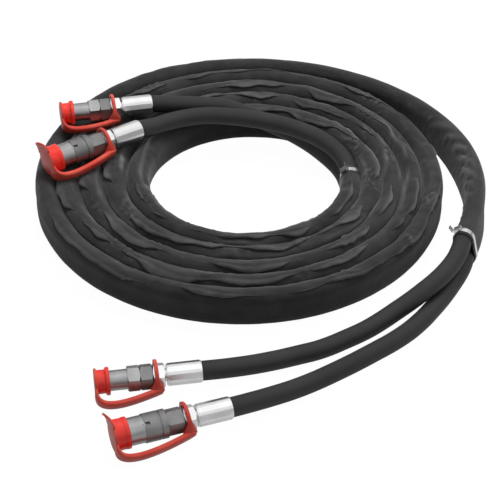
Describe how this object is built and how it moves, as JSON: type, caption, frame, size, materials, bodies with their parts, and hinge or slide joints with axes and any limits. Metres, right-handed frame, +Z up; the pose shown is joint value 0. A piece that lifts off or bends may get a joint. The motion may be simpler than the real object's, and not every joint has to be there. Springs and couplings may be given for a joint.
{
  "type": "twin hydraulic extension hose",
  "caption": "Coiled twin hydraulic extension hose in a woven protective sleeve, with a flat-face plug and socket coupling and tethered dust caps on each end.",
  "frame": {"origin": "centre of the footprint, on the floor that the coil lies on", "axes": "+Z up, +Y along the longer side of the footprint towards the back of the coil, +X to the side where both hose pairs leave the sleeve"},
  "size_m": [0.6067, 0.8011, 0.097],
  "materials": {
    "hose_rubber": "matte black hose cover",
    "woven_sleeve": "woven textile protective sleeve",
    "tie_steel": "stainless band",
    "plated_steel": "bright zinc plated",
    "coupling_steel": "satin grey plated",
    "spring_steel": "spring wire",
    "seal_rubber": "moulded seal",
    "red_cap": "soft moulded red"
  },
  "bodies": {
    "root": {"hose_pressure": "hose_rubber", "hose_return": "hose_rubber", "protective_sleeve": "woven_sleeve", "sleeve_tie_outer": "tie_steel", "tie_buckle_outer": "tie_steel", "sleeve_tie_inner": "tie_steel", "tie_buckle_inner": "tie_steel", "ferrule_front_plug": "plated_steel", "insert_front_plug": "plated_steel", "swivel_nut_front_plug": "plated_steel", "ferrule_front_socket": "plated_steel", "insert_front_socket": "plated_steel", "swivel_nut_front_socket": "plated_steel", "ferrule_rear_plug": "plated_steel", "insert_rear_plug": "plated_steel", "swivel_nut_rear_plug": "plated_steel", "ferrule_rear_socket": "plated_steel", "insert_rear_socket": "plated_steel", "swivel_nut_rear_socket": "plated_steel", "plug_adapter_front": "coupling_steel", "plug_body_front": "coupling_steel", "poppet_spring_front": "spring_steel", "poppet_seal_front": "seal_rubber", "plug_adapter_rear": "coupling_steel", "plug_body_rear": "coupling_steel", "poppet_spring_rear": "spring_steel", "poppet_seal_rear": "seal_rubber", "socket_adapter_front": "coupling_steel", "socket_body_front": "coupling_steel", "lock_spring_front": "spring_steel", "lock_balls_front": "plated_steel", "retaining_ring_front": "spring_steel", "centre_stem_front": "coupling_steel", "valve_spring_front": "spring_steel", "socket_adapter_rear": "coupling_steel", "socket_body_rear": "coupling_steel", "lock_spring_rear": "spring_steel", "lock_balls_rear": "plated_steel", "retaining_ring_rear": "spring_steel", "centre_stem_rear": "coupling_steel", "valve_spring_rear": "spring_steel", "plug_cap_strap_front": "red_cap", "plug_cap_ring_front": "red_cap", "socket_cap_strap_front": "red_cap", "socket_cap_ring_front": "red_cap", "plug_cap_strap_rear": "red_cap", "plug_cap_ring_rear": "red_cap", "socket_cap_strap_rear": "red_cap", "socket_cap_ring_rear": "red_cap"},
    "plug_cap_front": {"plug_cap_front": "red_cap"},
    "socket_cap_front": {"socket_cap_front": "red_cap"},
    "poppet_front": {"poppet_front": "coupling_steel"},
    "lock_sleeve_front": {"lock_sleeve_front": "coupling_steel"},
    "valve_sleeve_front": {"valve_sleeve_front": "coupling_steel"},
    "plug_cap_rear": {"plug_cap_rear": "red_cap"},
    "socket_cap_rear": {"socket_cap_rear": "red_cap"},
    "poppet_rear": {"poppet_rear": "coupling_steel"},
    "lock_sleeve_rear": {"lock_sleeve_rear": "coupling_steel"},
    "valve_sleeve_rear": {"valve_sleeve_rear": "coupling_steel"}
  },
  "joints": [
    {"name": "plug_cap_pull_front", "type": "slide", "parent": "root", "child": "plug_cap_front", "axis": [-0.9869, -0.1616, 0], "range_m": [0, 0.03], "deforming": ["plug_cap_strap_front"]},
    {"name": "socket_cap_pull_front", "type": "slide", "parent": "root", "child": "socket_cap_front", "axis": [-0.9432, -0.3322, 0], "range_m": [0, 0.03], "deforming": ["socket_cap_strap_front"]},
    {"name": "poppet_push_front", "type": "slide", "parent": "root", "child": "poppet_front", "axis": [0.9869, 0.1616, 0], "range_m": [0, 0.007], "stiffness_N_per_m": 1500, "springref_m": -0.004, "deforming": ["poppet_spring_front"]},
    {"name": "lock_sleeve_pull_front", "type": "slide", "parent": "root", "child": "lock_sleeve_front", "axis": [0.9432, 0.3322, 0], "range_m": [0, 0.006], "stiffness_N_per_m": 2500, "springref_m": -0.004, "deforming": ["lock_spring_front"]},
    {"name": "valve_sleeve_push_front", "type": "slide", "parent": "root", "child": "valve_sleeve_front", "axis": [0.9432, 0.3322, 0], "range_m": [0, 0.016], "stiffness_N_per_m": 1200, "springref_m": -0.004, "deforming": ["valve_spring_front"]},
    {"name": "plug_cap_pull_rear", "type": "slide", "parent": "root", "child": "plug_cap_rear", "axis": [-0.9742, -0.2249, 0.0175], "range_m": [0, 0.03], "deforming": ["plug_cap_strap_rear"]},
    {"name": "socket_cap_pull_rear", "type": "slide", "parent": "root", "child": "socket_cap_rear", "axis": [-0.8443, -0.5358, 0], "range_m": [0, 0.03], "deforming": ["socket_cap_strap_rear"]},
    {"name": "poppet_push_rear", "type": "slide", "parent": "root", "child": "poppet_rear", "axis": [0.9742, 0.2249, -0.0175], "range_m": [0, 0.007], "stiffness_N_per_m": 1500, "springref_m": -0.004, "deforming": ["poppet_spring_rear"]},
    {"name": "lock_sleeve_pull_rear", "type": "slide", "parent": "root", "child": "lock_sleeve_rear", "axis": [0.8443, 0.5358, 0], "range_m": [0, 0.006], "stiffness_N_per_m": 2500, "springref_m": -0.004, "deforming": ["lock_spring_rear"]},
    {"name": "valve_sleeve_push_rear", "type": "slide", "parent": "root", "child": "valve_sleeve_rear", "axis": [0.8443, 0.5358, 0], "range_m": [0, 0.016], "stiffness_N_per_m": 1200, "springref_m": -0.004, "deforming": ["valve_spring_rear"]}
  ]
}
